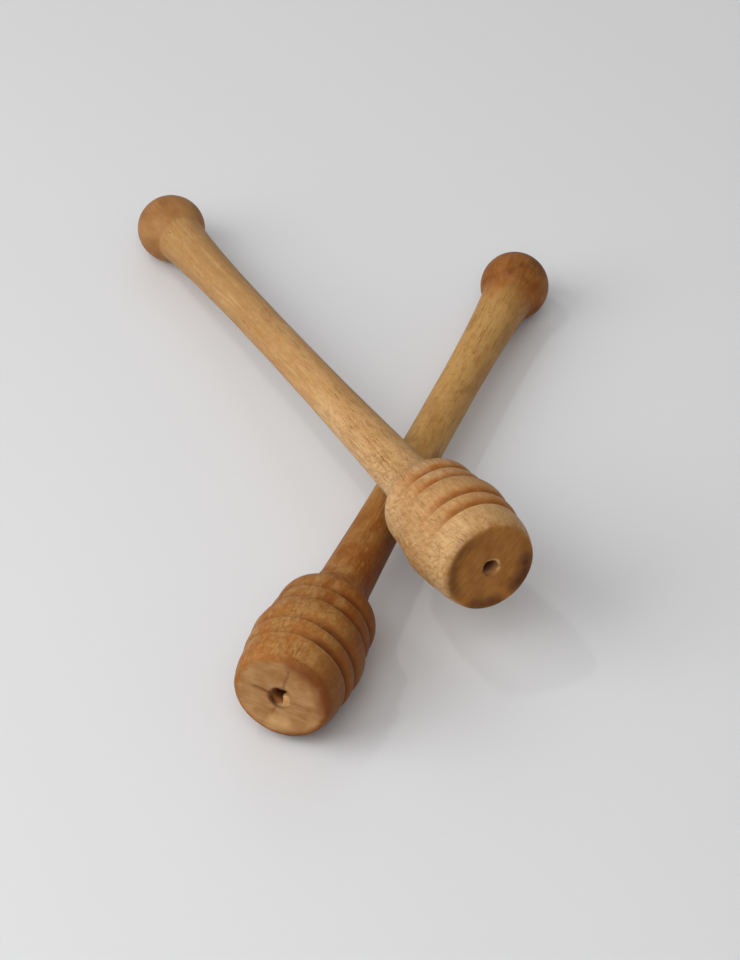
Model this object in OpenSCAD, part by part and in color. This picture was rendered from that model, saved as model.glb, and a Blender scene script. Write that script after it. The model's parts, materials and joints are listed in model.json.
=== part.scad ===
// A pair of claves. Each stick is turned from one wooden blank: a ball at one
// end, a waisted handle, a cove that opens into a barrel head with four cut
// grooves, and a flat end face with the hole that the lathe centre left.
// They lie crossed on a flat surface: the lower stick on its ball and its
// widest bead, the upper one on its ball and on the lower stick's handle.
// Lengths along a stick run from the ball's far side. Places on a head are
// measured back from the end face.

/* [Lower stick] */
// Length of the lower stick
lower_length = 200; // [180:1:240]
// Head diameter of the lower stick, at its widest bead
lower_head_d = 31.4; // [26:0.2:38]
// Handle diameter of the lower stick, at its waist
lower_grip_d = 11.6; // [9:0.1:14.5]
// Rounding of the lower stick's rim, round the end face
lower_rim_round = 1.8; // [0.2:0.1:2.4]

/* [Upper stick] */
// Length of the upper stick
upper_length = 206; // [180:1:250]
// Head diameter of the upper stick, at its widest bead
upper_head_d = 30.8; // [25:0.2:37]
// Handle diameter of the upper stick, at its waist
upper_grip_d = 11.2; // [9:0.1:14]
// Rounding of the upper stick's rim, round the end face
upper_rim_round = 0.3; // [0.2:0.1:2.4]

/* [Ball and handle] */
// Diameter of the ball
ball_d = 19.8; // [16:0.2:24]
// Distance from the ball's far side to the waist
waist_at = 75; // [60:1:90]
// How much wider in radius the handle is at the ball than at the waist
neck_flare = 1.3; // [0:0.1:1.7]
// How much wider in radius the handle is at the cove than at the waist
grip_swell = 1.5; // [0:0.1:2]

/* [Head] */
// Length of the head, from the foot of its shoulder to the end face
head_length = 38.4; // [36:0.2:46]
// Length of the cove between handle and head
cove_length = 11; // [8:0.2:18]
// How much smaller in radius the shoulder's foot is than the widest bead
foot_drop = 4.9; // [3:0.1:5.4]
// Distances of the four grooves from the end face
groove_at = [30.3, 24.8, 15.3, 9.7]; // [5:0.1:34]
// Width of a groove at its mouth
groove_w = 1.2; // [0.6:0.1:1.8]
// Depth of a groove below its lower lip
groove_depth = 0.7; // [0.2:0.1:1.4]

/* [Centre hole] */
// Diameter of the centre hole in an end face
hole_d = 4.4; // [3:0.1:6]
// Depth of the centre hole
hole_depth = 9; // [4:0.5:14]

/* [Crossing] */
// Angle between the two sticks, seen from above
cross_angle = 47.2; // [42:0.2:80]
// Distance from the crossing to the lower stick's cove
lower_cross_back = 36; // [28:1:60]
// Distance from the crossing to the upper stick's cove
upper_cross_back = 6; // [4:1:30]
// Clearance between the two handles straight under the crossing
rest_gap = 0.2; // [0.1:0.05:0.5]

/* [Hidden] */
$fn = 128;
ball_r = ball_d / 2;
handle_steps = 18;
over = 1;
// Each bead: how far back its crest is, how much smaller in radius the crest
// is than the widest bead, and the radius of its own round section.
beads = [[27, 1.4, 7], [19.2, 0, 10], [12.6, 0.4, 5], [7.5, 1.1, 15.5]];
widest_bead = 1;
// The shoulder's crest, and its drop below the widest bead.
shoulder_crest = [32.6, 1.8];

// A stick's own sizes, in one list: length, head radius, grip radius, rim.
lower = [lower_length, lower_head_d / 2, lower_grip_d / 2, lower_rim_round];
upper = [upper_length, upper_head_d / 2, upper_grip_d / 2, upper_rim_round];
function cove_at(s) = s[0] - head_length - cove_length;

// Radius of the handle at y: it flares quickly to the ball, slowly to the cove.
function handle_r(s, y) =
    y < waist_at
        ? s[2] + neck_flare * pow((waist_at - y) / (waist_at - ball_d), 3)
        : s[2] + grip_swell * pow((y - waist_at) / (cove_at(s) - waist_at), 2);

// Radius of an arc that is level at one end and drops by d over a length l.
function arc_r(d, l) = (d * d + l * l) / (2 * d);

// All five rounds of a head, shoulder first, as [crest back, crest r, arc r].
function rounds(s) = concat(
    [[shoulder_crest[0], s[1] - shoulder_crest[1],
        arc_r(foot_drop - shoulder_crest[1], head_length - shoulder_crest[0])]],
    [for (b = beads) [b[0], s[1] - b[1], b[2]]]);
function round_r(b, back) = b[1] - b[2] + sqrt(b[2] * b[2] - pow(back - b[0], 2));

// Where each round starts and ends: at a groove's lip, the foot or the face.
round_from = concat([head_length], [for (g = groove_at) g - groove_w / 2]);
round_to = concat([for (g = groove_at) g + groove_w / 2], [0]);

// The head's straight-sided core: every lip, and the bottom of each V groove.
function head_core(s) = [for (i = [0:4]) let (b = rounds(s)[i])
    each concat(
        [[round_r(b, round_from[i]), s[0] - round_from[i]],
         [round_r(b, round_to[i]), s[0] - round_to[i]]],
        i == 4 ? [] : [[min(round_r(b, round_to[i]),
            round_r(rounds(s)[i + 1], round_from[i + 1])) - groove_depth,
            s[0] - groove_at[i]]])];

module band(s, from_back, to_back) {
    translate([0, s[0] - from_back])
        square([s[1] + over, from_back - to_back]);
}

module handle_outline(s) {
    start = ball_r;
    step = (cove_at(s) - start) / handle_steps;
    polygon(concat(
        [[0, start]],
        [for (i = [0:handle_steps]) [handle_r(s, start + i * step), start + i * step]],
        [[0, cove_at(s)]]));
}

module cove_outline(s) {
    from_r = handle_r(s, cove_at(s));
    foot_r = s[1] - foot_drop;
    round = arc_r(foot_r - from_r, cove_length);
    difference() {
        translate([0, cove_at(s)]) square([foot_r, cove_length]);
        translate([from_r + round, cove_at(s)]) circle(r = round, $fn = 256);
    }
}

module head_outline(s) {
    intersection() {
        union() {
            polygon(concat([[0, s[0] - head_length]], head_core(s), [[0, s[0]]]));
            for (i = [0:4]) let (b = rounds(s)[i])
                intersection() {
                    translate([b[1] - b[2], s[0] - b[0]]) circle(r = b[2]);
                    band(s, round_from[i], round_to[i]);
                }
        }
        rim_outline(s);
    }
}

// Limits the head to a rounded corner round the end face.
module rim_outline(s) {
    face_r = round_r(rounds(s)[4], s[3]) - s[3];
    band(s, head_length, s[3]);
    translate([0, s[0] - s[3]]) square([face_r, s[3]]);
    translate([face_r, s[0] - s[3]]) intersection() {
        circle(r = s[3]);
        square(s[3]);
    }
}

// One stick standing on its ball, the end face up.
module turned_stick(s) {
    difference() {
        rotate_extrude() {
            intersection() {
                translate([0, ball_r]) circle(r = ball_r);
                square([ball_d, ball_d]);
            }
            handle_outline(s);
            cove_outline(s);
            head_outline(s);
        }
        translate([0, 0, s[0] - hole_depth]) cylinder(d = hole_d, h = hole_depth + over);
    }
}

// The lower stick tips up until its widest bead touches the surface: the
// lowest point of that bead lies one arc radius under the arc's centre.
bead_y = lower_length - beads[widest_bead][0] - ball_r;
bead_r = lower[1] - beads[widest_bead][2];
lower_tilt = asin((beads[widest_bead][2] - ball_r) / norm([bead_y, bead_r]))
    + atan2(bead_r, bead_y);

// The upper stick tips up until its handle clears the lower one by rest_gap.
lower_cross = cove_at(lower) - lower_cross_back;
upper_cross = cove_at(upper) - upper_cross_back;
lower_cross_z = ball_r + (lower_cross - ball_r) * sin(lower_tilt);
axis_gap = handle_r(lower, lower_cross) + handle_r(upper, upper_cross) + rest_gap;
function heading(turn, tilt) = [sin(turn) * cos(tilt), -cos(turn) * cos(tilt), sin(tilt)];
// Share of the upright distance that counts between two tilted axes.
function upright(tilt) =
    let (n = cross(heading(-cross_angle / 2, lower_tilt), heading(cross_angle / 2, tilt)))
    n[2] / norm(n);
function tilt_try(tries) = tries == 0 ? lower_tilt :
    asin((lower_cross_z + axis_gap / upright(tilt_try(tries - 1)) - ball_r)
        / (upper_cross - ball_r));
upper_tilt = tilt_try(6);

lower_way = heading(-cross_angle / 2, lower_tilt);
upper_way = heading(cross_angle / 2, upper_tilt);

// Far side of the pair along d, with the crossing at the origin: the balls,
// the widest beads and the last rounds are what reach furthest.
function on_axis(way, cross_y, y) = way * (y - cross_y);
function reach(s, way, cross_y, d) = max(concat(
    [on_axis(way, cross_y, ball_r) * d + ball_r],
    [for (b = rounds(s)) on_axis(way, cross_y, s[0] - b[0]) * d
        + b[1] * sqrt(1 - pow(way * d, 2))],
    [on_axis(way, cross_y, s[0]) * d
        + (round_r(rounds(s)[4], s[3]) - s[3]) * sqrt(1 - pow(way * d, 2))]));
function far(d) = max(
    reach(lower, lower_way, lower_cross, d),
    reach(upper, upper_way, upper_cross, d));
centre = [(far([1, 0, 0]) - far([-1, 0, 0])) / 2, (far([0, 1, 0]) - far([0, -1, 0])) / 2];

// Lays a stick down on its ball, so that its axis passes over the crossing.
module lay(tilt, turn, cross_y) {
    away = (cross_y - ball_r) * cos(tilt);
    translate([-centre[0] - sin(turn) * away, -centre[1] + cos(turn) * away, ball_r])
        rotate([90 - tilt, 0, turn])
            translate([0, 0, -ball_r])
                children();
}

module lower_stick() {
    color([0.62, 0.41, 0.24])
        lay(lower_tilt, -cross_angle / 2, lower_cross)
            turned_stick(lower);
}

module upper_stick() {
    color([0.80, 0.62, 0.42])
        lay(upper_tilt, cross_angle / 2, upper_cross)
            turned_stick(upper);
}

lower_stick();
upper_stick();
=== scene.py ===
"""A pair of turned beech claves lying crossed: the visible wood of both sticks.

Each stick is turned on a Geometry Nodes lathe from one outline, worn and
marked like the real wood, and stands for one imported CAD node. Sizes are in
millimetres in the stick's own frame: its origin is the middle of the end
face, Z runs out of that face and Y is up. "Back" is the distance behind it.
"""

import json
import math
from collections import namedtuple
from functools import reduce

import bpy
from mathutils import Matrix, Vector


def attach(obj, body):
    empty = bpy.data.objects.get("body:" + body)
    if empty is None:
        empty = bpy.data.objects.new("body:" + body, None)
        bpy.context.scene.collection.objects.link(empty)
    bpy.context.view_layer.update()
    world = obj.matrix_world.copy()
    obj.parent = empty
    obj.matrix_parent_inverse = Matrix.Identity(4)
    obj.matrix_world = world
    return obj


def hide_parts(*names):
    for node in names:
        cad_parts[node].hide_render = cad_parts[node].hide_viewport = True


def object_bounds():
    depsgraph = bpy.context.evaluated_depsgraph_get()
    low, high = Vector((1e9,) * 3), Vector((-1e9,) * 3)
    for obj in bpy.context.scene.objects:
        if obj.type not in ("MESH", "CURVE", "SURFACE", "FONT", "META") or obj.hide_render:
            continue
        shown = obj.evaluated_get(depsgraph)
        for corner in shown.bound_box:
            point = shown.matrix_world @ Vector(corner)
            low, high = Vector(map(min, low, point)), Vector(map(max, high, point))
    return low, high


MM = 0.001

# ---------------------------------------------------------------- the turning

BALL_D = 19.8
WAIST_FROM_BALL_END = 75
# How much the handle's radius grows from its waist: up to a ball's width from the far end,
# and up to the cove.
NECK_FLARE = 1.3
GRIP_SWELL = 1.5
HEAD_LENGTH = 38.4
COVE_LENGTH = 11
# How far the shoulder's foot, where the cove ends, is below the widest bead.
FOOT_DROP = 4.9
GROOVES_BACK = [30.3, 24.8, 15.3, 9.7]
GROOVE_WIDTH = 1.2
GROOVE_DEPTH = 0.7
HOLE_D = 4.4
HOLE_DEPTH = 9
# The rounds of a head, shoulder first: how far back the crest is, its drop
# below the widest bead, and the radius of the round's own section.
SHOULDER_CREST_BACK = 32.6
SHOULDER_DROP = 1.8
BEADS = [(27, 1.4, 7), (19.2, 0, 10), (12.6, 0.4, 5), (7.5, 1.1, 15.5)]

# How far each kind of corner is softened by sanding and by use. A groove is rubbed
# open on the handle's side, as far as its slope. Its other lip has the stick's own wear.
GROOVE_SLOPE = 1.3
HANDLE_LIP_WEAR = 0.8
GROOVE_FLOOR_WEAR = 0.2
FOOT_WEAR = 0.16
NECK_WEAR = 0.25
HOLE_MOUTH_WEAR = 0.3
# How far the crests are rubbed down where a head is worn smooth, and the run over which
# that fades out at the head's two ends.
CREST_WEAR = 0.25
CREST_WEAR_RUN = 4

# The slant of the scale-like marks on a head, from the stick's own line.
SCALE_SLANT = 37
# How far up the handle's side of a groove the oil and a painted shade darken the wood.
BAND_RUN = 2.8
# How far from the end face hands have left their oil, and the oily side, with its painted shade, is
# at full strength.
OILY_REACH = 75

# How finely the lathe cuts: the sides of a stick, and the steps along each kind of run.
SIDES = 272
BALL_STEPS = 44
HANDLE_STEPS = 54
COVE_STEPS = 18
ROUND_STEPS = 6
ROUND_STEPS_PER_MM = 2.2
GROOVE_WALL_STEPS = 4
RIM_STEPS = 6
FACE_STEPS = 36
HOLE_WALL_STEPS = 16
HOLE_FLOOR_STEPS = 4
CORNER_STEPS = 5
# How many times the search for the ball's neck halves its range.
NECK_HALVINGS = 40
# Points this close are welded, and edges that bend more than this many degrees stay crisp.
WELD_GAP = 0.002
CRISP_ANGLE = 32

# Wear that both sticks share: how oval they are, as a share of the radius, and how deep
# their waviness and the nicks in their grooves' lips go.
OVALITY = 0.006
WAVINESS = 0.16
NICK_DEPTH = 0.28
# How big the wear's own patches are: the long waves, the waves round a stick, the nicks,
# the chisel's marks on an end face, and the strays of a score from its line.
LONG_WAVE = 17
ROUND_WAVE_SIZE = (6, 6, 30)
NICK_SIZE = (1.1, 1.1, 1.6)
CHISEL_WIDTH = 5
STRAY_SIZE = (2.2, 2.2, 1)
# How deep the chisel's marks go, and over what width a score strays.
CHISEL_DEPTH = 0.1
STRAY = 0.9
# How far from a groove its lips are nicked.
NICK_REACH = 1.3
# How far round the hole, and how far into it, its mouth is torn.
TORN_REACH = 1.9
TORN_RUN = 1.7

# A crack or a drive-centre score on an end face: the way it runs, where it
# starts and stops, how wide it is and how deep.
Score = namedtuple("Score", "turn start stop width depth")
# A stain on an end face: its middle, half its spread in degrees, the radii
# between which it lies, how strong it is and which tone it has.
Stain = namedtuple("Stain", "turn spread inner outer strength tone")
# A side of a stick, worn smooth, dark with oil and painted shade, or kept to by a zone:
# its middle, half its spread in degrees, and its share, from 0 to 1.
Side = namedtuple("Side", "turn spread share")
# A stretch of a stick with a tone of its own, for some a painted highlight, sheen or shade:
# where it starts and stops behind the end face, over what length it fades, its strength
# and tone, and the side that it keeps to, where it doesn't go all round.
Zone = namedtuple("Zone", "start stop fade strength tone side", defaults=[None])

# A stick: its imported node, body and hole, and its material slot. Then its waist's size,
# how round its rim and its grooves' far lips are, and how far the end face's own wood
# reaches. Then the seed of its noise, the turns, sides and depths of its wear, the side
# darkened by oil and painted shade, how pale its grooves' lips are with a painted highlight,
# the marks on its end face, how strong each groove's band is, how its grain lies, and how
# its wood is marked and toned.
Stick = namedtuple(
    "Stick",
    "node body bore slot grip_d rim lip_wear face_reach seed oval_turn worn oily lip_share"
    " hole_torn torn_turn chip scores stains bands ray_turn pith_back fleck_share mottle"
    " zones tones",
)

# Colours as they show on a screen, 0 to 255.
Tones = namedtuple(
    "Tones",
    "pale bare fair dark flush fleck worked band crevice ball oiled oily face face_dark"
    " grime stain hole deep edge",
)

LOWER = Stick(
    node="lower_stick",
    body="lower",
    bore="lower_centre_hole",
    slot="dark_beech",
    grip_d=11.6,
    rim=1.8,
    lip_wear=0.75,
    face_reach=11.7,
    seed=3,
    oval_turn=25,
    worn=Side(134, 78, 0.74),
    # Painted shade on the right and under side, partly oil from hands.
    oily=Side(-32, 95, 0.55),
    lip_share=0.4,
    hole_torn=1.2,
    torn_turn=150,
    chip=1.9,
    scores=[
        Score(167, 1.2, 9.2, 1.9, 0.34),
        Score(77, 2.2, 11.2, 1.6, 0.2),
        Score(-14, 2.0, 9.8, 1.6, 0.2),
        Score(-110, 2.0, 7.8, 1.6, 0.18),
    ],
    stains=[
        Stain(32, 68, 8.4, 15.6, 0.9, "stain"),
        Stain(-72, 20, 9.6, 16.0, 0.5, "stain"),
        Stain(-93, 28, 5.0, 12.0, 0.8, "edge"),
        # Painted shade: the dark ring round the left and bottom of the hole, with grime.
        Stain(225, 100, 1.4, 4.4, 0.6, "grime"),
    ],
    bands=[1.0, 0.95, 0.9, 0.95],
    ray_turn=82,
    pith_back=36,
    fleck_share=0.4,
    mottle=0.34,
    zones=[
        Zone(30, 68, 24, 0.7, "oiled"),
        Zone(90, 170, 30, 0.9, "fair"),
        # Oil, with painted shade: the right side near the head darker.
        Zone(50, 105, 12, 0.5, "oily", Side(-20, 64, 1.0)),
    ],
    tones=Tones(
        pale=(160, 116, 62),
        bare=(180, 138, 84),
        fair=(184, 142, 82),
        dark=(138, 94, 42),
        flush=(162, 102, 48),
        fleck=(92, 50, 18),
        worked=(136, 78, 24),
        band=(120, 62, 14),
        crevice=(60, 28, 8),
        ball=(136, 84, 36),
        oiled=(124, 70, 22),
        oily=(94, 44, 6),
        face=(172, 130, 84),
        face_dark=(146, 98, 54),
        grime=(72, 36, 12),
        stain=(110, 56, 16),
        hole=(146, 92, 50),
        deep=(104, 58, 26),
        edge=(196, 152, 98),
    ),
)

UPPER = Stick(
    node="upper_stick",
    body="upper",
    bore="upper_centre_hole",
    slot="light_beech",
    grip_d=11.2,
    rim=1.0,
    lip_wear=0.12,
    face_reach=12.4,
    seed=8,
    oval_turn=70,
    worn=Side(208, 106, 0.95),
    # Painted shade on the right and top side, partly oil from hands.
    oily=Side(20, 80, 0.08),
    lip_share=0.8,
    hole_torn=0.3,
    torn_turn=200,
    chip=0.0,
    scores=[],
    stains=[
        Stain(160, 66, 8.6, 14.4, 0.45, "grime"),
        Stain(-26, 42, 6.6, 15.0, 0.85, "stain"),
        Stain(-100, 34, 7.4, 15.0, 0.7, "stain"),
    ],
    bands=[1.0, 0.9, 0.85, 0.8],
    ray_turn=136,
    pith_back=44,
    fleck_share=0.75,
    mottle=0.22,
    zones=[
        Zone(1, 8, 6, 0.4, "bare"),
        Zone(24, 35, 5, 0.5, "band", Side(118, 48, 1.0)),
        Zone(36, 54, 16, 0.22, "bare"),
        # Painted highlight: the left side lighter, where the light falls.
        Zone(30, 86, 16, 0.55, "bare", Side(208, 86, 1.0)),
        # Painted sheen on the top of the shoulder.
        Zone(24, 38, 4, 1.0, "fair", Side(62, 60, 1.0)),
        Zone(150, 300, 60, 0.5, "oiled"),
    ],
    tones=Tones(
        pale=(190, 149, 96),
        bare=(206, 170, 122),
        fair=(178, 140, 98),
        dark=(164, 120, 68),
        flush=(186, 140, 92),
        fleck=(110, 70, 36),
        worked=(154, 108, 60),
        band=(158, 88, 22),
        crevice=(112, 62, 26),
        ball=(150, 100, 52),
        oiled=(156, 116, 68),
        oily=(128, 82, 40),
        face=(164, 109, 50),
        face_dark=(130, 81, 32),
        grime=(66, 36, 18),
        stain=(70, 34, 16),
        hole=(172, 122, 82),
        deep=(112, 68, 34),
        edge=(198, 158, 106),
    ),
)

STICKS = [LOWER, UPPER]


def end_place(record, stick):
    """The stick's own frame, from its packed centre hole: Z out of the end face, Y up."""
    bore = next(m for m in record["mounts"] if m["name"] == stick.bore)
    way = Vector(bore["axis"]).normalized()
    middle = Vector(bore["pos_m"]) + way * (bore["dims"]["length_mm"] / 2 * MM)
    top = (Vector((0, 0, 1)) - way * way.z).normalized()
    side = top.cross(way)
    turned = Matrix((side, top, way)).transposed().to_4x4()
    return Matrix.Translation(middle) @ turned


def packed_size(node, place):
    """Length and head radius of a packed stick, in millimetres, off its own mesh."""
    own = place.inverted()
    corners = [own @ v.co for v in node.data.vertices]
    length = -min(c.z for c in corners) / MM
    head_r = max(math.hypot(c.x, c.y) for c in corners) / MM
    return length, head_r


# ----------------------------------------------------------------- the outline


def evenly_spaced(start, stop, steps):
    """Evenly spaced numbers from start to stop, both included."""
    return [start + (stop - start) * i / steps for i in range(steps + 1)]


def arc_radius(drop, run):
    """Radius of an arc that is level at one end and drops by this much over the run."""
    return (drop * drop + run * run) / (2 * drop)


def handle_radius(stick, from_ball, cove_from_ball):
    """The handle's radius, with both distances counted from the ball's far end."""
    grip_r = stick.grip_d / 2
    if from_ball < WAIST_FROM_BALL_END:
        share = (WAIST_FROM_BALL_END - from_ball) / (WAIST_FROM_BALL_END - BALL_D)
        return grip_r + NECK_FLARE * share**3
    share = (from_ball - WAIST_FROM_BALL_END) / (cove_from_ball - WAIST_FROM_BALL_END)
    return grip_r + GRIP_SWELL * share**2


def ball_run(stick, length, cove_from_ball):
    """The ball, from its pole to where the handle leaves it."""
    ball_r = BALL_D / 2
    low, high = math.pi / 2, math.pi
    for _ in range(NECK_HALVINGS):
        turn = (low + high) / 2
        from_ball = ball_r * (1 - math.cos(turn))
        inside = ball_r * math.sin(turn) < handle_radius(stick, from_ball, cove_from_ball)
        low, high = (low, turn) if inside else (turn, high)
    return [
        (ball_r * math.sin(t), length - ball_r * (1 - math.cos(t)))
        for t in evenly_spaced(0, low, BALL_STEPS)
    ]


def handle_run(stick, length, start_back, cove_back):
    cove_from_ball = length - cove_back
    return [
        (handle_radius(stick, length - back, cove_from_ball), back)
        for back in evenly_spaced(start_back, cove_back, HANDLE_STEPS)
    ]


def cove_run(from_r, foot_r, cove_back):
    """A hollow quarter: level at the handle, steepest at the shoulder's foot."""
    radius = arc_radius(foot_r - from_r, COVE_LENGTH)
    return [
        (from_r + radius - math.sqrt(radius**2 - run**2), cove_back - run)
        for run in evenly_spaced(0, COVE_LENGTH, COVE_STEPS)
    ]


def round_radius(crest, back):
    """Radius of one of the head's rounds, this far behind the end face."""
    crest_back, crest_r, section = crest
    return crest_r - section + math.sqrt(section**2 - (back - crest_back) ** 2)


def head_rounds(head_r):
    """Each round's crest: how far back it is, its radius and its section's radius."""
    shoulder_section = arc_radius(FOOT_DROP - SHOULDER_DROP, HEAD_LENGTH - SHOULDER_CREST_BACK)
    shoulder = (SHOULDER_CREST_BACK, head_r - SHOULDER_DROP, shoulder_section)
    return [shoulder] + [(back, head_r - drop, section) for back, drop, section in BEADS]


def head_runs(stick, head_r):
    """The shoulder, the beads and the walls of the V grooves between them, then the rim."""
    lips_from = [HEAD_LENGTH] + [g - GROOVE_WIDTH / 2 for g in GROOVES_BACK]
    lips_to = [g + GROOVE_SLOPE for g in GROOVES_BACK] + [stick.rim]
    rounds = head_rounds(head_r)
    runs = []
    for i, crest in enumerate(rounds):
        start, stop = lips_from[i], lips_to[i]
        steps = ROUND_STEPS + round(ROUND_STEPS_PER_MM * (start - stop))
        runs.append([(round_radius(crest, back), back) for back in evenly_spaced(start, stop, steps)])
        if i < len(GROOVES_BACK):
            lip = runs[-1][-1]
            far_lip = (round_radius(rounds[i + 1], lips_from[i + 1]), lips_from[i + 1])
            floor = (min(lip[0], far_lip[0]) - GROOVE_DEPTH, GROOVES_BACK[i])
            runs.append(wall(lip, floor, GROOVE_WALL_STEPS))
            runs.append(wall(floor, far_lip, GROOVE_WALL_STEPS))
    face_r = round_radius(rounds[-1], stick.rim) - stick.rim
    rim = [
        (face_r + stick.rim * math.sin(t), stick.rim * (1 - math.cos(t)))
        for t in evenly_spaced(math.pi / 2, 0, RIM_STEPS)
    ]
    runs[-1] += rim[1:]
    return runs, face_r


def wall(start, stop, steps):
    """A straight run between two points of the outline."""
    return list(zip(evenly_spaced(start[0], stop[0], steps), evenly_spaced(start[1], stop[1], steps)))


def softened(path, run, wear):
    """Joins a run to a path with their shared corner worn to a small round."""
    corner = Vector(run[0])
    before = [p for p in path if (Vector(p) - corner).length > wear]
    after = [p for p in run if (Vector(p) - corner).length > wear]
    start = corner + (Vector(before[-1]) - corner).normalized() * wear
    stop = corner + (Vector(after[0]) - corner).normalized() * wear
    bend = []
    for t in evenly_spaced(0, 1, CORNER_STEPS):
        point = start * (1 - t) ** 2 + corner * (2 * t * (1 - t)) + stop * t**2
        bend.append((point.x, point.y))
    return before + bend + after


def stick_outline(stick, length, head_r):
    """The whole outline as (radius, back), from the ball's pole to the floor of the hole."""
    cove_back = HEAD_LENGTH + COVE_LENGTH
    cove_r = handle_radius(stick, length - cove_back, length - cove_back)
    path = ball_run(stick, length, length - cove_back)
    path = softened(path, handle_run(stick, length, path[-1][1], cove_back), NECK_WEAR)
    path += cove_run(cove_r, head_r - FOOT_DROP, cove_back)[1:]
    runs, face_r = head_runs(stick, head_r)
    path = softened(path, runs[0], FOOT_WEAR)
    corner_wears = [HANDLE_LIP_WEAR, GROOVE_FLOOR_WEAR, stick.lip_wear] * len(GROOVES_BACK)
    for run, wear in zip(runs[1:], corner_wears):
        path = softened(path, run, wear)
    hole_r = HOLE_D / 2
    path += wall((face_r, 0), (hole_r, 0), FACE_STEPS)[1:]
    hole_wall = wall((hole_r, 0), (hole_r, HOLE_DEPTH), HOLE_WALL_STEPS)
    path = softened(path, hole_wall, HOLE_MOUTH_WEAR)
    path += wall((hole_r, HOLE_DEPTH), (0, HOLE_DEPTH), HOLE_FLOOR_STEPS)[1:]
    return path


def smooth_radius(stick, head_r, radius, back):
    """The radius where the head is worn smooth: level from one crest to the next."""
    in_hole = radius < head_r / 2
    if in_hole or not stick.rim < back < HEAD_LENGTH:
        return radius
    rounds = head_rounds(head_r)
    crests = [(crest_back, crest_r) for crest_back, crest_r, _ in rounds]
    if back >= crests[0][0]:
        level = round_radius(rounds[0], back)
    elif back <= crests[-1][0]:
        level = round_radius(rounds[-1], back)
    else:
        (from_back, from_r), (to_back, to_r) = next(
            pair for pair in zip(crests, crests[1:]) if pair[0][0] >= back >= pair[1][0]
        )
        level = from_r + (to_r - from_r) * (from_back - back) / (from_back - to_back)
    from_ends = min(HEAD_LENGTH - back, back - stick.rim) / CREST_WEAR_RUN
    return level - CREST_WEAR * min(1, from_ends)


# -------------------------------------------------------------- node arithmetic


class Wire:
    """A node's output, so that node maths reads as plain arithmetic."""

    def __init__(self, nodes, socket):
        self.nodes = nodes
        self.socket = socket

    def math(self, operation, *others):
        values = dict(enumerate([self, *others]))
        return self.nodes.add("ShaderNodeMath", {"operation": operation}, values)

    def __add__(self, other):
        return self.math("ADD", other)

    def __sub__(self, other):
        return self.math("SUBTRACT", other)

    def __rsub__(self, other):
        return (self * -1) + other

    def __mul__(self, other):
        return self.math("MULTIPLY", other)

    def __truediv__(self, other):
        return self.math("DIVIDE", other)

    def __neg__(self):
        return self * -1

    def __abs__(self):
        return self.math("ABSOLUTE")

    def least(self, other):
        return self.math("MINIMUM", other)

    def most(self, other):
        return self.math("MAXIMUM", other)

    def steps_up(self, low, high):
        """0 below low, 1 above high, smooth between; with high below low it steps down."""
        settings = {"interpolation_type": "SMOOTHSTEP"}
        if high > low:
            return self.nodes.add(
                "ShaderNodeMapRange", settings, {"Value": self, "From Min": low, "From Max": high}
            )
        return 1 - self.steps_up(high, low)


class Nodes:
    """Adds nodes to one tree: a node's settings are set first, then its inputs."""

    def __init__(self, tree):
        self.tree = tree

    def add(self, kind, settings=None, inputs=None, output=0):
        node = self.tree.nodes.new(kind)
        for name, value in (settings or {}).items():
            setattr(node, name, value)
        for name, value in (inputs or {}).items():
            self.feed(node.inputs[name], value)
        return Wire(self, node.outputs[output])

    def feed(self, socket, value):
        if isinstance(value, Wire):
            self.tree.links.new(value.socket, socket)
        else:
            socket.default_value = value

    def vector(self, x, y, z):
        return self.add("ShaderNodeCombineXYZ", None, {"X": x, "Y": y, "Z": z})

    def parts(self, vector):
        split = self.add("ShaderNodeSeparateXYZ", None, {"Vector": vector}).socket.node
        return [Wire(self, split.outputs[axis]) for axis in "XYZ"]

    def stretched(self, place, sizes, shift=(0, 0, 0)):
        """A place counted in marks of these sizes, in millimetres, and moved by the shift."""
        ways = zip(place, sizes, shift)
        return self.vector(*[way / size + move if move else way / size for way, size, move in ways])

    def noise(self, place, detail=2.0, roughness=0.5):
        """Soft blotches, 0 to 1, about 1 across."""
        inputs = {"Vector": place, "Scale": 1.0, "Detail": detail, "Roughness": roughness}
        return self.add("ShaderNodeTexNoise", None, inputs)

    def mix(self, share, one, other):
        """A colour that goes from one to the other as share goes from 0 to 1."""
        inputs = {0: share, 6: one, 7: other}
        return self.add("ShaderNodeMix", {"data_type": "RGBA"}, inputs, 2)

    def cells(self, place):
        """Scattered points: how far the nearest is, and a random number of its own."""
        inputs = {"Vector": place, "Scale": 1.0}
        near = self.add("ShaderNodeTexVoronoi", {"feature": "F1"}, inputs, "Distance")
        own = self.parts(Wire(self, near.socket.node.outputs["Color"]))[0]
        return near, own

    def cell_edges(self, place):
        """How far the nearest edge is, between the cells round scattered points."""
        inputs = {"Vector": place, "Scale": 1.0}
        return self.add(
            "ShaderNodeTexVoronoi", {"feature": "DISTANCE_TO_EDGE"}, inputs, "Distance"
        )


def linear(colour):
    """A screen colour, 0 to 255, as the linear one that shaders use, by the sRGB curve."""
    shares = [c / 255 for c in colour]
    return [s / 12.92 if s < 0.04045 else ((s + 0.055) / 1.055) ** 2.4 for s in shares] + [1.0]


def strongest(shares):
    """The highest of several wires at each point."""
    return reduce(lambda one, other: one.most(other), shares)


def turned_towards(x, y, turn, spread, level=0.4):
    """1 where the way from the axis to x, y is near this turn, 0 past the spread from it.

    It is level at 1 over this share of the spread.
    """
    turn = math.radians(turn)
    spread = math.radians(spread)
    off_axis = (x * x + y * y).math("SQRT").most(0.01)
    cosine = (x * math.cos(turn) + y * math.sin(turn)) / off_axis
    return cosine.steps_up(math.cos(spread), math.cos(spread * level))


def on_side(x, y, side):
    """The side's own share in its middle, 0 away from it."""
    return turned_towards(x, y, side.turn, side.spread, 0.6) * side.share


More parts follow.
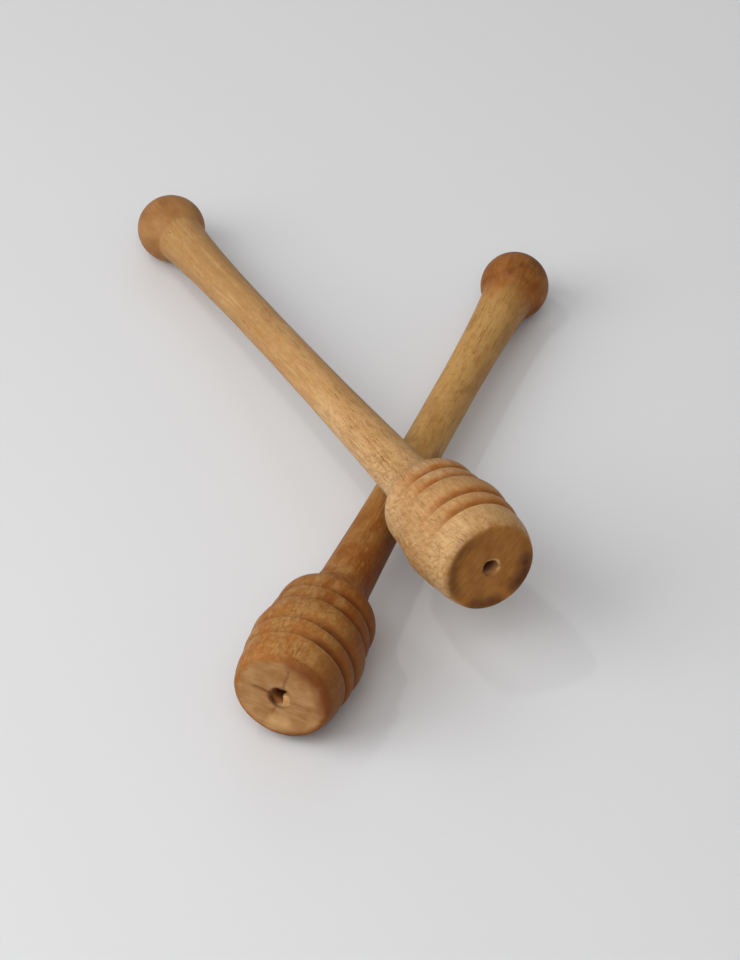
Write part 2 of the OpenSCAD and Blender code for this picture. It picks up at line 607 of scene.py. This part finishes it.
def score_depth(x, y, scores, wander):
    """How deep a face is scored at x, y: 0 where it isn't, the score's own depth along it."""
    cuts = []
    for score in scores:
        turn = math.radians(score.turn)
        along = x * math.cos(turn) + y * math.sin(turn)
        off = abs(y * math.cos(turn) - x * math.sin(turn) + wander)
        middle = (score.start + score.stop) / 2
        reach = (score.stop - score.start) / 2
        inside = abs(along - middle).steps_up(reach, reach * 0.5)
        cuts.append(off.steps_up(score.width / 2, 0.0) * inside * score.depth)
    return strongest(cuts)


def groove_lips(back, reach):
    """1 in the middle of a groove, 0 at this reach from it."""
    return strongest([abs(back - groove).steps_up(reach, 0.0) for groove in GROOVES_BACK])


def face_wander(nodes, stick, x, y):
    """How far the scores on an end face stray from a straight line, in millimetres."""
    place = nodes.stretched((x, y, stick.seed * 1.7), STRAY_SIZE)
    return (nodes.noise(place, detail=3.0) - 0.5) * STRAY


# ------------------------------------------------------------------ the lathe


def lathe_tree(stick):
    """Turns the object's own outline round Z, then wears it.

    The outline is a line of points: X is the radius, Y the radius where the head is worn
    smooth, Z runs out of the end face. The outline and the result are in metres, and the
    wear is worked out in millimetres.
    """
    tree = bpy.data.node_groups.new(stick.node + "_lathe", "GeometryNodeTree")
    nodes = Nodes(tree)
    sockets = {}
    for name, kind in [
        ("Outline", "NodeSocketGeometry"),
        ("Sides", "NodeSocketInt"),
        ("Ovality", "NodeSocketFloat"),
        ("Waviness", "NodeSocketFloat"),
        ("Nick Depth", "NodeSocketFloat"),
        ("Torn Mouth", "NodeSocketFloat"),
        ("Chip", "NodeSocketFloat"),
        ("Seed", "NodeSocketInt"),
        ("Wood", "NodeSocketMaterial"),
    ]:
        item = tree.interface.new_socket(name, in_out="INPUT", socket_type=kind)
        sockets[name] = item.identifier
    tree.interface.new_socket("Stick", in_out="OUTPUT", socket_type="NodeSocketGeometry")
    given = tree.nodes.new("NodeGroupInput")
    asked = {name: Wire(nodes, given.outputs[name]) for name in sockets}

    counted = nodes.add(
        "GeometryNodeAttributeDomainSize", {"component": "MESH"}, {"Geometry": asked["Outline"]}
    )
    sides = asked["Sides"]
    blank = nodes.add(
        "GeometryNodeMeshGrid",
        None,
        {"Size X": 1.0, "Size Y": 1.0, "Vertices X": counted, "Vertices Y": sides + 1},
    )
    index = nodes.add("GeometryNodeInputIndex")
    station = ((index + 0.5) / (sides + 1)).math("FLOOR")
    turn = (index - station * (sides + 1)) / sides * (2 * math.pi)
    here = nodes.add("GeometryNodeInputPosition")
    on_outline = nodes.add(
        "GeometryNodeSampleIndex",
        {"data_type": "FLOAT_VECTOR", "domain": "POINT"},
        {"Geometry": asked["Outline"], "Value": here, "Index": station},
    )
    radius, smooth_r, z = nodes.parts(on_outline)
    back = z / -MM
    cosine, sine = turn.math("COSINE"), turn.math("SINE")
    worn = on_side(cosine, sine, stick.worn)
    radius = (radius + (smooth_r - radius) * worn) / MM
    x, y = radius * cosine, radius * sine
    seed = asked["Seed"] * 17.3

    hollow = wear_of_sides(nodes, asked, (x, y, back), radius, turn, stick.oval_turn, seed)
    torn = mouth_tear(nodes, stick, asked, radius, back, cosine, sine, seed)
    radius = (radius - hollow).most(0.0) + torn
    sunk = wear_of_face(nodes, stick, x, y, back, seed)
    spot = nodes.vector(radius * cosine * MM, radius * sine * MM, (back + sunk) * -MM)

    turned = nodes.add("GeometryNodeSetPosition", None, {"Geometry": blank, "Position": spot})
    closed = nodes.add(
        "GeometryNodeMergeByDistance", None, {"Geometry": turned, "Distance": WELD_GAP * MM}
    )
    outward = nodes.add("GeometryNodeFlipFaces", None, {"Mesh": closed})
    smooth = nodes.add("GeometryNodeSetShadeSmooth", {"domain": "FACE"}, {"Geometry": outward})
    bend = nodes.add("GeometryNodeInputMeshEdgeAngle")
    crisp = bend.math("GREATER_THAN", math.radians(CRISP_ANGLE))
    shaded = nodes.add(
        "GeometryNodeSetShadeSmooth",
        {"domain": "EDGE"},
        {"Geometry": smooth, "Selection": crisp, "Shade Smooth": False},
    )
    real = nodes.add("GeometryNodeRealizeInstances", None, {"Geometry": shaded})
    finished = nodes.add(
        "GeometryNodeSetMaterial", None, {"Geometry": real, "Material": asked["Wood"]}
    )
    out = tree.nodes.new("NodeGroupOutput")
    tree.links.new(finished.socket, out.inputs["Stick"])
    return tree, sockets


def wear_of_sides(nodes, asked, place, radius, turn, oval_turn, seed):
    """How far the sides stand in from the true turning: ovality, waviness and nicked lips."""
    back = place[2]
    far_turn = (turn - math.radians(oval_turn)) * 2
    oval = (far_turn.math("COSINE") + 1) * 0.5 * radius * asked["Ovality"]
    along = nodes.noise(nodes.vector(seed, 0.0, back / LONG_WAVE), detail=1.0)
    round_about = nodes.noise(nodes.stretched(place, ROUND_WAVE_SIZE, (0, seed, 0)), detail=1.0)
    on_handle = back.steps_up(HEAD_LENGTH, HEAD_LENGTH + COVE_LENGTH)
    wavy = (along + round_about) * 0.5 * (on_handle * 0.75 + 0.25) * asked["Waviness"]
    chance = nodes.noise(nodes.stretched(place, NICK_SIZE, (0, seed, 0)), detail=3.0)
    nick = chance.steps_up(0.58, 0.72) * groove_lips(back, NICK_REACH) * asked["Nick Depth"]
    on_face = back.steps_up(0.25, 0.02)
    return (oval + wavy + nick) * (1 - on_face * 0.6)


def mouth_tear(nodes, stick, asked, radius, back, cosine, sine, seed):
    """How far the mouth of the hole is torn wider, less the chip that stands in it."""
    hole_r = HOLE_D / 2
    near_mouth = back.steps_up(TORN_RUN, 0.0) * radius.steps_up(hole_r + TORN_REACH, hole_r)
    ragged = nodes.noise(nodes.vector(cosine * 1.5, sine * 1.5, seed + back * 0.5), detail=3.0)
    side = turned_towards(cosine, sine, stick.torn_turn, 150) * 0.8 + 0.2
    torn = near_mouth * ragged.steps_up(0.25, 0.65) * side * asked["Torn Mouth"]
    standing = turned_towards(cosine, sine, stick.torn_turn + 180, 58)
    under_mouth = back.steps_up(0.4, 0.9) * back.steps_up(3.6, 2.2)
    chip = standing * under_mouth * radius.steps_up(hole_r + 1.0, hole_r) * asked["Chip"]
    return (torn - chip) * radius.steps_up(0.5, 2.0)


def wear_of_face(nodes, stick, x, y, back, seed):
    """How far the end face is sunk: its scores, and a faint unevenness left by the chisel."""
    on_face = back.steps_up(0.3, 0.05)
    place = nodes.vector(x / CHISEL_WIDTH, y / CHISEL_WIDTH, seed)
    uneven = nodes.noise(place, detail=2.0) * CHISEL_DEPTH
    if not stick.scores:
        return uneven * on_face
    wander = face_wander(nodes, stick, x, y)
    return (uneven + score_depth(x, y, stick.scores, wander)) * on_face


def outline_object(stick, length, head_r):
    """The outline as the line of points that the lathe turns, in metres."""
    points = []
    for radius, back in stick_outline(stick, length, head_r):
        smooth = smooth_radius(stick, head_r, radius, back)
        points.append((radius * MM, smooth * MM, -back * MM))
    line = bpy.data.meshes.new(stick.node + "_outline")
    line.from_pydata(points, [(i, i + 1) for i in range(len(points) - 1)], [])
    return bpy.data.objects.new(stick.node + "_blank", line)


def turned_stick(stick, place, size):
    """One finished stick as a plain mesh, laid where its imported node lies."""
    length, head_r = size
    blank = outline_object(stick, length, head_r)
    bpy.context.scene.collection.objects.link(blank)
    tree, sockets = lathe_tree(stick)
    lathe = blank.modifiers.new("lathe", "NODES")
    lathe.node_group = tree
    for name, value in {
        "Sides": SIDES,
        "Ovality": OVALITY,
        "Waviness": WAVINESS,
        "Nick Depth": NICK_DEPTH,
        "Torn Mouth": stick.hole_torn,
        "Chip": stick.chip,
        "Seed": stick.seed,
        "Wood": beech(stick, place, length),
    }.items():
        lathe[sockets[name]] = value
    ready = blank.evaluated_get(bpy.context.evaluated_depsgraph_get())
    mesh = bpy.data.meshes.new_from_object(ready)
    mesh.name = stick.node + "_wood"
    bpy.data.objects.remove(blank)
    mesh.transform(place)
    piece = bpy.data.objects.new(stick.node + "_wood", mesh)
    bpy.context.scene.collection.objects.link(piece)
    return piece


# ------------------------------------------------------------------- the wood

# How big each kind of mark in the wood is, in millimetres: twice across the stick or its
# grain, then along it.
FIBRE_SIZE = (0.8, 0.8, 8)
CLOUD_SIZE = (10, 10, 40)
STREAK_SIZE = (3.2, 1.8, 40)
WARM_SIZE = (5, 5, 9)
SPECKLE_SIZE = (1.3, 1.3, 2.4)
RAY_SWAY_SIZE = (3, 1.5, 3.5)
RAY_CROWD_SIZE = (9, 9, 24)
GRAIN_SWAY_SIZE = (5, 5, 6)
GRAIN_LINE_SIZE = (0.36, 0.36, 3.6)
SCALE_SWAY_SIZE = (2.6, 2.6, 2.6)
BAND_PATCH_SIZE = (3, 3, 2)
BALL_CLOUD_SIZE = (4, 4, 4)
# The same for a head's scales and dashes: along their slant, over it, and across the stick.
SCALE_SIZE = (4.4, 1.6, 2.2)
DASH_SIZE = (3.2, 0.9, 1.2)
# The same on an end face, where the last one has no effect.
SMOKE_SIZE = (1.8, 1.8, 1)
FACE_STREAK_SIZE = (0.9, 5, 1)
FACE_CLOUD_SIZE = (5, 5, 1)

# The cut ends of the rays, broad ones and fine ones: how wide and how long they are, and
# a shift that sets the two kinds apart. Then how far both reach out from the pith.
RAY_KINDS = [(0.5, 9.0, 0.0), (0.34, 6.0, 7.0)]
RAY_DEPTH = 4
# Over what width the rays, the open grain and the scales stray from straight lines.
RAY_SWAY = 1.6
GRAIN_SWAY = 2.8
SCALE_SWAY = 2.4

# How far the edge of an end face's own wood is blurred, by its smoky noise.
FACE_BLUR = 2.0
# How far an end face's stains reach along the stick.
STAIN_RUN = 3.0
# How far the pale lip round a hole's mouth reaches out from the hole.
HOLE_LIP_REACH = 1.0

# The finish: how rough it is in the main, how deep its pores are, and how it shines.
ROUGHNESS = 0.5
PORE_DEPTH = 0.03
RELIEF_STRENGTH = 0.9
WOOD_IOR = 1.45
WOOD_SHINE = 0.18


class Lie(namedtuple("Lie", "x y back off_axis radial across facing_across facing_end")):
    """Where a point of the wood lies, in millimetres, in the stick's own frame and its grain.

    Radial runs out from the pith and across cuts the rays. The last two say how far the
    surface faces across the rays and towards the stick's ends, from 0 to 1.
    """

    @property
    def spot(self):
        return self.x, self.y, self.back

    @property
    def in_grain(self):
        return self.radial, self.across, self.back


def beech(stick, place, length):
    """Oiled beech, cut from one side of a tree, with the marks of the lathe and of use."""
    material = bpy.data.materials.new(stick.slot)
    material.use_nodes = True
    tree = material.node_tree
    tree.nodes.clear()
    nodes = Nodes(tree)
    lie = lie_of_wood(nodes, stick, place)
    seed = stick.seed * 3.1
    tones = {name: linear(colour) for name, colour in stick.tones._asdict().items()}

    fine = nodes.stretched(lie.in_grain, FIBRE_SIZE, (seed, 0, 0))
    fibre = nodes.noise(fine, detail=3.0, roughness=0.6)
    broad = nodes.noise(nodes.stretched(lie.spot, CLOUD_SIZE, (seed, 0, 0)), detail=2.0)
    rays = ray_flecks(nodes, stick, lie, seed)
    grain = grain_lines(nodes, lie, seed)

    wood = side_wood(nodes, stick, lie, tones, fibre, broad, seed)
    wood = nodes.mix(grain * stick.fleck_share, wood, tones["worked"])
    wood = nodes.mix(rays * stick.fleck_share, wood, tones["fleck"])
    wood = groove_bands(nodes, stick, lie, tones, wood, broad)
    wood = ball_wood(nodes, lie, length, tones, wood, fibre, broad)

    smoke = nodes.noise(nodes.stretched((lie.x, lie.y, seed), SMOKE_SIZE), detail=3.0)
    within_rim = lie.off_axis + (smoke - 0.5) * FACE_BLUR
    on_face = within_rim.steps_up(stick.face_reach + 1.0, stick.face_reach - 0.6)
    on_face = on_face * lie.back.steps_up(2.5, 1.4)
    wood = nodes.mix(on_face, wood, end_face(nodes, stick, lie, tones, seed))
    wood = face_stains(nodes, stick, lie, tones, wood, smoke)
    wood = centre_hole(nodes, stick, lie, tones, wood, smoke)

    rough = fibre * 0.12 + lie.facing_end * 0.1 - broad * 0.08 + ROUGHNESS
    relief = fibre * PORE_DEPTH - rays * PORE_DEPTH
    bumped = nodes.add(
        "ShaderNodeBump", None, {"Strength": RELIEF_STRENGTH, "Distance": MM, "Height": relief}
    )
    surface = nodes.add(
        "ShaderNodeBsdfPrincipled",
        None,
        {
            "Base Color": wood,
            "Roughness": rough,
            "Normal": bumped,
            "IOR": WOOD_IOR,
            "Specular IOR Level": WOOD_SHINE,
        },
    )
    out = tree.nodes.new("ShaderNodeOutputMaterial")
    tree.links.new(surface.socket, out.inputs["Surface"])
    return material


def lie_of_wood(nodes, stick, place):
    own = place.inverted()
    turned = {"Rotation": own.to_euler()}
    laid = {"Location": own.translation / MM, "Scale": (1 / MM, 1 / MM, 1 / MM), **turned}
    here = nodes.add("ShaderNodeTexCoord", output="Object")
    spot = nodes.add("ShaderNodeMapping", {"vector_type": "POINT"}, {"Vector": here, **laid})
    out_of_wood = nodes.add("ShaderNodeTexCoord", output="Normal")
    facing = nodes.add(
        "ShaderNodeMapping", {"vector_type": "VECTOR"}, {"Vector": out_of_wood, **turned}
    )
    x, y, z = nodes.parts(spot)
    facing_x, facing_y, facing_z = nodes.parts(facing)
    cosine = math.cos(math.radians(stick.ray_turn))
    sine = math.sin(math.radians(stick.ray_turn))
    return Lie(
        x=x,
        y=y,
        back=-z,
        off_axis=(x * x + y * y).math("SQRT"),
        radial=x * cosine + y * sine,
        across=y * cosine - x * sine,
        facing_across=abs(facing_y * cosine - facing_x * sine),
        facing_end=abs(facing_z),
    )


def ray_flecks(nodes, stick, lie, seed):
    """Cut ends of the rays, 0 to 1: fine dark lines along the grain, crowded by the cove."""
    place = nodes.stretched(lie.in_grain, RAY_SWAY_SIZE, (0, seed, 0))
    sway = nodes.noise(place, detail=4.0) - 0.5
    sheet = lie.across * stick.pith_back / (lie.radial + stick.pith_back) + sway * RAY_SWAY
    place = nodes.stretched(lie.spot, RAY_CROWD_SIZE, (0, seed, 0))
    crowd = nodes.noise(place, detail=2.0).steps_up(0.34, 0.62)
    from_cove = abs(lie.back - HEAD_LENGTH - 2 * COVE_LENGTH)
    crowd = (crowd * 0.8 + from_cove.steps_up(3.2 * COVE_LENGTH, COVE_LENGTH) * 0.6).least(1.0)
    lines = []
    for wide, long, shift in RAY_KINDS:
        out_from_pith = lie.radial / RAY_DEPTH + seed + shift
        near, own = nodes.cells(nodes.vector(out_from_pith, sheet / wide + shift, lie.back / long))
        size = (own * 0.38 + 0.06) * (crowd * 0.8 + 0.2)
        lines.append((size - near).steps_up(-0.08, 0.12))
    return strongest(lines) * (1 - lie.facing_across * 0.7) * (1 - lie.facing_end * 0.4)


def grain_lines(nodes, lie, seed):
    """Open grain, 0 to 1: thin wavy lines along the stick, plainest round the cove."""
    place = nodes.stretched(lie.spot, GRAIN_SWAY_SIZE, (0, seed, 0))
    sway = (nodes.noise(place, detail=3.0) - 0.5) * GRAIN_SWAY
    swayed = (lie.x + sway, lie.y - sway, lie.back)
    place = nodes.stretched(swayed, GRAIN_LINE_SIZE, (seed, 0, 0))
    from_cove = abs(lie.back - HEAD_LENGTH - COVE_LENGTH)
    plain = from_cove.steps_up(6 * COVE_LENGTH, COVE_LENGTH) * 0.7 + 0.3
    return nodes.noise(place, detail=2.0, roughness=0.6).steps_up(0.52, 0.66) * plain


def scale_marks(nodes, lie, seed):
    """Thin wavy lines and dashes, 0 to 1, like the edges of slanting scales."""
    slant = math.radians(SCALE_SLANT)
    along = lie.y * math.sin(slant) - lie.back * math.cos(slant)
    over = lie.y * math.cos(slant) + lie.back * math.sin(slant)
    place = nodes.stretched(lie.spot, SCALE_SWAY_SIZE, (0, seed, 0))
    sway = (nodes.noise(place, detail=2.0) - 0.5) * SCALE_SWAY
    over = over + sway
    place = nodes.stretched((along, over, lie.x), DASH_SIZE, (seed, 0, 0))
    dashes = nodes.noise(place, detail=3.0, roughness=0.6)
    edge = nodes.cell_edges(nodes.stretched((along + sway, over, lie.x), SCALE_SIZE, (seed, 0, 0)))
    edges = edge.steps_up(0.2, 0.02) * dashes.steps_up(0.4, 0.6)
    return (dashes.steps_up(0.52, 0.68) * 0.7).most(edges)


def side_wood(nodes, stick, lie, tones, fibre, broad, seed):
    """Long grain: soft streaks from pale to dark, a warmer flush, fine fibres and marks."""
    streaks = nodes.noise(nodes.stretched(lie.in_grain, STREAK_SIZE, (0, seed, 0)), detail=3.0)
    tone = (streaks * 0.5 + broad * 0.5).steps_up(0.28, 0.72)
    wood = nodes.mix(tone, tones["pale"], tones["dark"])
    place = nodes.stretched(lie.spot, WARM_SIZE, (0, seed, seed))
    warm = nodes.noise(place, detail=4.0, roughness=0.6)
    wood = nodes.mix(warm.steps_up(0.42, 0.6) * 0.75, wood, tones["flush"])
    wood = toned_stretches(nodes, stick, lie, tones, wood, warm)

    rubbed = turned_towards(lie.x, lie.y, stick.worn.turn, 110)
    on_head = lie.back.steps_up(HEAD_LENGTH + 2.2 * COVE_LENGTH, HEAD_LENGTH)
    wood = nodes.mix(rubbed * on_head * warm.steps_up(0.6, 0.4) * 0.5, wood, tones["bare"])
    wood = nodes.mix(fibre.steps_up(0.5, 0.7) * 0.4, wood, tones["worked"])
    wood = nodes.mix(fibre.steps_up(0.48, 0.3) * 0.35, wood, tones["bare"])
    place = nodes.stretched(lie.spot, SPECKLE_SIZE, (seed, 0, 0))
    speckle = nodes.noise(place, detail=4.0, roughness=0.65)
    wood = nodes.mix(speckle.steps_up(0.5, 0.68) * stick.mottle, wood, tones["worked"])
    wood = nodes.mix(speckle.steps_up(0.46, 0.3) * stick.mottle, wood, tones["bare"])
    near_head = lie.back.steps_up(HEAD_LENGTH + 3 * COVE_LENGTH, HEAD_LENGTH + COVE_LENGTH)
    marks = scale_marks(nodes, lie, seed) * near_head
    wood = nodes.mix(marks * (rubbed * 0.3 + 0.35), wood, tones["worked"])

    # The oily side: oil from hands, and painted shade on the side away from the light.
    oil_and_shade_reach = lie.back.steps_up(OILY_REACH * 1.5, OILY_REACH) * 0.75 + 0.25
    wood = nodes.mix(on_side(lie.x, lie.y, stick.oily) * oil_and_shade_reach, wood, tones["oily"])
    cut_across = lie.facing_end.steps_up(0.15, 0.8) * (broad * 0.6 + 0.1)
    return nodes.mix(cut_across.least(0.9), wood, tones["worked"])


def toned_stretches(nodes, stick, lie, tones, wood, warm):
    """Lays the tones of the stick's zones over its wood, with blotchy edges; some of them are
    painted highlight, sheen or shade.
    """
    blotch = warm.steps_up(0.35, 0.65) * 0.8 + 0.6
    for zone in stick.zones:
        half_fade = zone.fade / 2
        from_face = lie.back + (warm - 0.5) * zone.fade
        inside = from_face.steps_up(zone.start - half_fade, zone.start)
        inside = inside * from_face.steps_up(zone.stop + half_fade, zone.stop)
        if zone.side:
            inside = inside * on_side(lie.x, lie.y, zone.side)
        wood = nodes.mix((inside * blotch * zone.strength).least(1.0), wood, tones[zone.tone])
    return wood


def groove_bands(nodes, stick, lie, tones, wood, broad):
    """The handle's side of a groove is dark orange with oil and painted shade, deepest in its
    core; its other lip is rubbed pale and carries a painted highlight.
    """
    smooth = on_side(lie.x, lie.y, stick.worn)
    patchy = nodes.noise(nodes.stretched(lie.spot, BAND_PATCH_SIZE), detail=3.0)
    blotchy = patchy.steps_up(0.3, 0.62)
    for groove, strength in zip(GROOVES_BACK, stick.bands):
        lip_back = groove - GROOVE_WIDTH / 2
        past_lip = lie.back.steps_up(lip_back, groove - GROOVE_WIDTH / 4) * (1 - smooth)
        # The band: oil soaked into end grain, and painted shade on the groove's wall.
        soaked_and_shaded = lie.back.steps_up(groove + BAND_RUN, groove + 0.5) * past_lip
        wood = nodes.mix(soaked_and_shaded * (blotchy * 0.7 + 0.3) * strength, wood, tones["band"])
        # The core: painted shade deep in the groove.
        core = lie.back.steps_up(groove + 1.5, groove + 0.2) * past_lip
        wood = nodes.mix(core * (broad * 0.5 + 0.25) * strength, wood, tones["crevice"])
        # The pale lip: rubbed pale, and a painted highlight on its edge.
        lip = lie.back.steps_up(lip_back - 1.3, lip_back - 0.2)
        lip = lip * lie.back.steps_up(groove - GROOVE_WIDTH * 0.3, lip_back)
        wood = nodes.mix(lip * (1 - smooth) * patchy * stick.lip_share, wood, tones["edge"])
    return wood


def ball_wood(nodes, lie, length, tones, wood, fibre, broad):
    """The ball is mostly end grain, darker and redder than the handle."""
    neck_back = length - BALL_D
    on_ball = lie.back.steps_up(neck_back - 1.5, neck_back + 4.5)
    past_neck = lie.off_axis.steps_up(5.4, 9.0).most(
        lie.back.steps_up(neck_back + 5, neck_back + 9)
    )
    cloudy = nodes.noise(nodes.stretched(lie.spot, BALL_CLOUD_SIZE), detail=4.0)
    tone = (fibre * 0.3 + cloudy * 0.7).steps_up(0.34, 0.66)
    ball = nodes.mix(tone, tones["ball"], tones["oily"])
    ball = nodes.mix(broad.steps_up(0.6, 0.4) * 0.35, ball, tones["flush"])
    return nodes.mix(on_ball * past_neck * 0.8, wood, ball)


def end_face(nodes, stick, lie, tones, seed):
    """End grain as it shows on the face: fine streaks along the rings."""
    place = nodes.stretched((lie.radial, lie.across, 0.0), FACE_STREAK_SIZE, (0, seed, 0))
    streak = nodes.noise(place, detail=2.0, roughness=0.6)
    place = nodes.stretched((lie.x, lie.y, 0.0), FACE_CLOUD_SIZE, (seed, 0, 0))
    cloud = nodes.noise(place, detail=3.0)
    shade = (streak * 0.4 + cloud * 0.6).steps_up(0.3, 0.7)
    face = nodes.mix(shade, tones["face"], tones["face_dark"])
    if stick.scores:
        dirt = score_depth(lie.x, lie.y, stick.scores, face_wander(nodes, stick, lie.x, lie.y))
        face = nodes.mix((dirt * 1.6).least(0.5), face, tones["grime"])
    return face


def face_stains(nodes, stick, lie, tones, wood, smoke):
    """Stains round the rim of the end face, soft at their edges."""
    near_face = lie.back.steps_up(STAIN_RUN, 1.0)
    for stain in stick.stains:
        middle = (stain.inner + stain.outer) / 2
        ring = lie.off_axis.steps_up(stain.inner, middle)
        ring = ring * lie.off_axis.steps_up(stain.outer, middle)
        side = turned_towards(lie.x, lie.y, stain.turn, stain.spread)
        share = ring * side * near_face * (smoke * 0.7 + 0.65) * stain.strength
        wood = nodes.mix(share.least(0.95), wood, tones[stain.tone])
    return wood


def centre_hole(nodes, stick, lie, tones, wood, smoke):
    """The hole: a pale lip with a painted highlight on its lit side, painted shade with grime on
    its torn side, and painted shade that darkens it further in.
    """
    hole_r = HOLE_D / 2
    # Painted highlight: the hole's lip, and the chip in it, paler on the side the light falls on.
    painted_lit_side = turned_towards(lie.x, lie.y, stick.torn_turn + 180, 110)
    lip = lie.off_axis.steps_up(hole_r + HOLE_LIP_REACH, hole_r + 0.4) * smoke.steps_up(0.35, 0.6)
    lip = lip * lie.back.steps_up(1.2, 0.6) * (painted_lit_side * 0.6 + 0.2)
    wood = nodes.mix(lip, wood, tones["edge"])
    # Painted shade with grime: the torn side of the mouth darkened in a ring.
    torn = turned_towards(lie.x, lie.y, stick.torn_turn, 150) * stick.hole_torn
    ring = lie.off_axis.steps_up(hole_r + TORN_REACH, hole_r + 0.5)
    soaked_and_shaded = ring * lie.back.steps_up(3.2, 2.2)
    wood = nodes.mix((soaked_and_shaded * torn * 0.75).least(0.85), wood, tones["grime"])
    inside = lie.off_axis.steps_up(hole_r + 1.3, hole_r + 0.7) * lie.back.steps_up(0.3, 1.2)
    inside = inside * lie.back.steps_up(14, 12)
    # Painted highlight on the chip standing in the hole.
    lit_chip_highlight = painted_lit_side * lie.off_axis.steps_up(hole_r, hole_r - 0.3) * min(1, stick.chip)
    # Painted shade: the bored wall darkens further into the hole.
    bored = nodes.mix(lie.back.steps_up(1.2, 4.0), tones["hole"], tones["deep"])
    wood = nodes.mix(inside * 0.9, wood, bored)
    return nodes.mix(lit_chip_highlight * lie.back.steps_up(3.6, 2.4) * inside, wood, tones["edge"])


# ------------------------------------------------------------------- the stage

FLOOR_TONE = (214, 214, 215)
FLOOR_SIZE = 8.0
FLOOR_ROUGHNESS = 0.45
FLOOR_IOR = 1.5

# The camera looks down at the crossed sticks from the ends of the two heads. Its angles
# are in degrees, its lens in millimetres and its distances in metres. Right and down say
# how far from the pair's middle it aims.
CAMERA_HEADING = 4.18
CAMERA_PITCH = 41.05
CAMERA_ROLL = 0.73
CAMERA_DISTANCE = 1.2334
CAMERA_RIGHT = 0.00287
CAMERA_DOWN = 0.01949
CAMERA_LENS = 168.75
CAMERA_NEAR = 0.01

# A lamp: which way it stands round the sticks, in degrees from the camera's side towards
# the right, its height angle, its distance and size in metres, and its power in watts.
Lamp = namedtuple("Lamp", "name around height distance size power")
LAMPS = [
    Lamp("window", -72, 36, 0.95, 0.82, 5.6),
    Lamp("front_window", -14, 52, 3.0, 2.3, 38),
    Lamp("far_window", 180, 45, 2.2, 1.6, 2.6),
    Lamp("bulb", -112, 64, 1.6, 0.06, 1.7),
]
ROOM_LIGHT = 0.32


def pale_floor():
    mesh = bpy.data.meshes.new("floor")
    half = FLOOR_SIZE / 2
    corners = [(-half, -half, 0), (half, -half, 0), (half, half, 0), (-half, half, 0)]
    mesh.from_pydata(corners, [], [(0, 1, 2, 3)])
    floor = bpy.data.objects.new("floor", mesh)
    bpy.context.scene.collection.objects.link(floor)
    material = bpy.data.materials.new("pale_board")
    material.use_nodes = True
    tree = material.node_tree
    tree.nodes.clear()
    nodes = Nodes(tree)
    surface = nodes.add(
        "ShaderNodeBsdfPrincipled",
        None,
        {"Base Color": linear(FLOOR_TONE), "Roughness": FLOOR_ROUGHNESS, "IOR": FLOOR_IOR},
    )
    out = tree.nodes.new("ShaderNodeOutputMaterial")
    tree.links.new(surface.socket, out.inputs["Surface"])
    mesh.materials.append(material)


def aimed(obj, place, target, roll=0.0):
    """Stands a lamp or camera at a place, looking at the target."""
    look = (target - place).to_track_quat("-Z", "Y").to_matrix().to_4x4()
    obj.matrix_world = Matrix.Translation(place) @ look @ Matrix.Rotation(roll, 4, "Z")


def soft_lamps(middle):
    for lamp in LAMPS:
        data = bpy.data.lights.new(lamp.name, "AREA")
        data.shape = "DISK"
        data.size = lamp.size
        data.energy = lamp.power
        light = bpy.data.objects.new(lamp.name, data)
        bpy.context.scene.collection.objects.link(light)
        around, height = math.radians(lamp.around), math.radians(lamp.height)
        way = Vector(
            (
                math.sin(around) * math.cos(height),
                -math.cos(around) * math.cos(height),
                math.sin(height),
            )
        )
        aimed(light, middle + way * lamp.distance, middle)
    world = bpy.data.worlds.new("room")
    bpy.context.scene.world = world
    world.use_nodes = True
    background = world.node_tree.nodes["Background"]
    background.inputs["Color"].default_value = (1.0, 1.0, 1.0, 1.0)
    background.inputs["Strength"].default_value = ROOM_LIGHT


def set_camera(middle):
    heading, pitch = math.radians(CAMERA_HEADING), math.radians(CAMERA_PITCH)
    ahead = Vector(
        (
            math.sin(heading) * math.cos(pitch),
            math.cos(heading) * math.cos(pitch),
            -math.sin(pitch),
        )
    )
    right = Vector((math.cos(heading), -math.sin(heading), 0))
    up = right.cross(ahead)
    target = middle + right * CAMERA_RIGHT - up * CAMERA_DOWN
    data = bpy.data.cameras.new("camera")
    data.lens = CAMERA_LENS
    data.clip_start = CAMERA_NEAR
    camera = bpy.data.objects.new("camera", data)
    bpy.context.scene.collection.objects.link(camera)
    aimed(camera, target - ahead * CAMERA_DISTANCE, target, math.radians(CAMERA_ROLL))
    bpy.context.scene.camera = camera


# ------------------------------------------------------------------- the scene

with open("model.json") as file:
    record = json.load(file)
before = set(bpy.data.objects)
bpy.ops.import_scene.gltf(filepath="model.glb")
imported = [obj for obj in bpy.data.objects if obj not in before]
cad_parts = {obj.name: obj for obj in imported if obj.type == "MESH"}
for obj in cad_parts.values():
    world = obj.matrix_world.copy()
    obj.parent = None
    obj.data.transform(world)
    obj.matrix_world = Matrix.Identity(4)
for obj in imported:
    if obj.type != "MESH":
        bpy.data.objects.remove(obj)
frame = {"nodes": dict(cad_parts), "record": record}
packed_low, packed_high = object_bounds()
middle_of_pair = (packed_low + packed_high) / 2

for stick in STICKS:
    place = end_place(frame["record"], stick)
    size = packed_size(frame["nodes"][stick.node], place)
    wood_piece = turned_stick(stick, place, size)
    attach(wood_piece, stick.body)
    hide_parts(stick.node)

pale_floor()
soft_lamps(middle_of_pair)
set_camera(middle_of_pair)
bpy.context.scene.view_settings.view_transform = "Standard"
